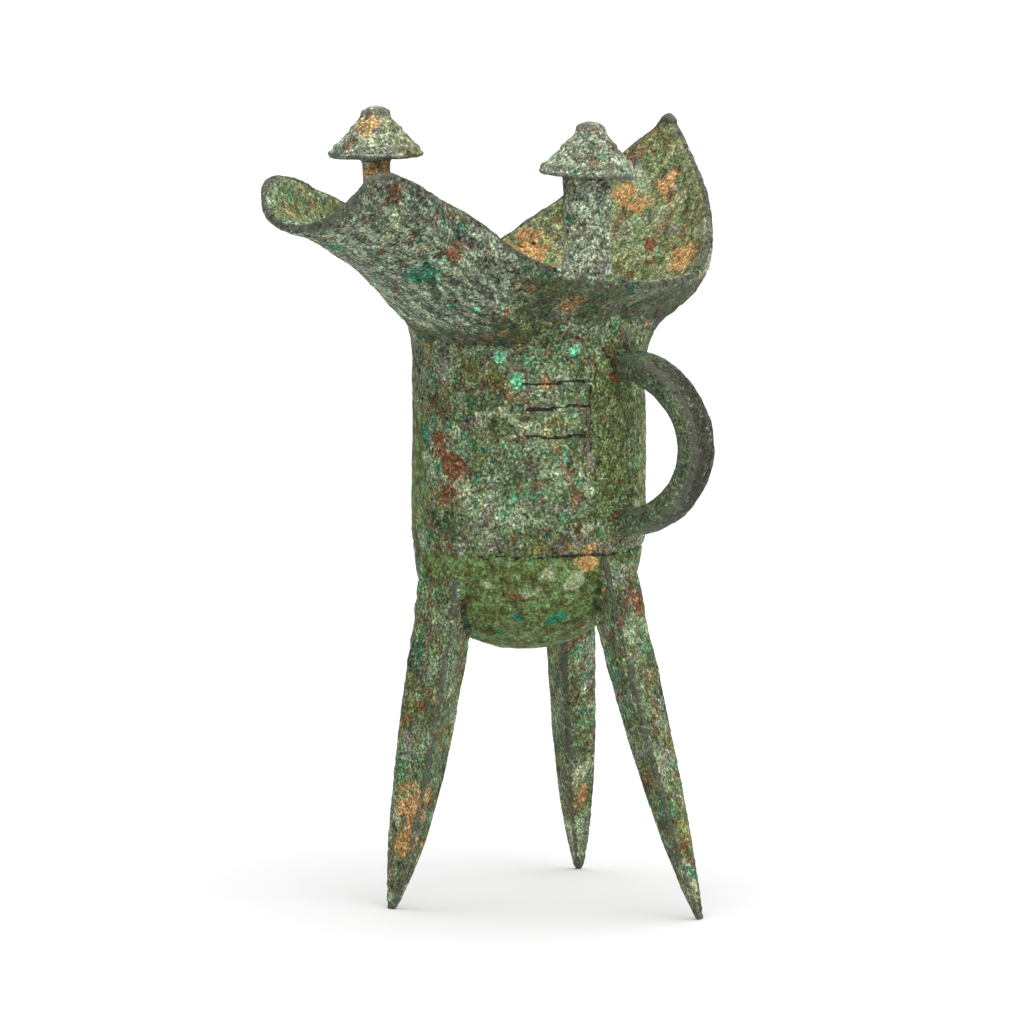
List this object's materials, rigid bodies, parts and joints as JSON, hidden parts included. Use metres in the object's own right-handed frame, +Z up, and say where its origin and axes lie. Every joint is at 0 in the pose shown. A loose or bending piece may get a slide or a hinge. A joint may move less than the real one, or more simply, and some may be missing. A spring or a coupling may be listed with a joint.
{
  "type": "bronze jue vessel",
  "caption": "Ancient cast bronze wine cup with splayed blade legs, a long open spout, a pointed tail, a strap handle and capped posts on the lip.",
  "frame": {"origin": "on the ground, under the middle of the overall length and width", "axes": "+Z up; the spout points to -X, the tail to +X and the handle to -Y"},
  "size_m": [0.1666, 0.1022, 0.2051],
  "materials": {
    "bronze": "cast bronze under a rough mottled green, brown and earthy corrosion patina, not polished"
  },
  "bodies": {
    "root": {"jue_vessel": "bronze"}
  },
  "joints": []
}
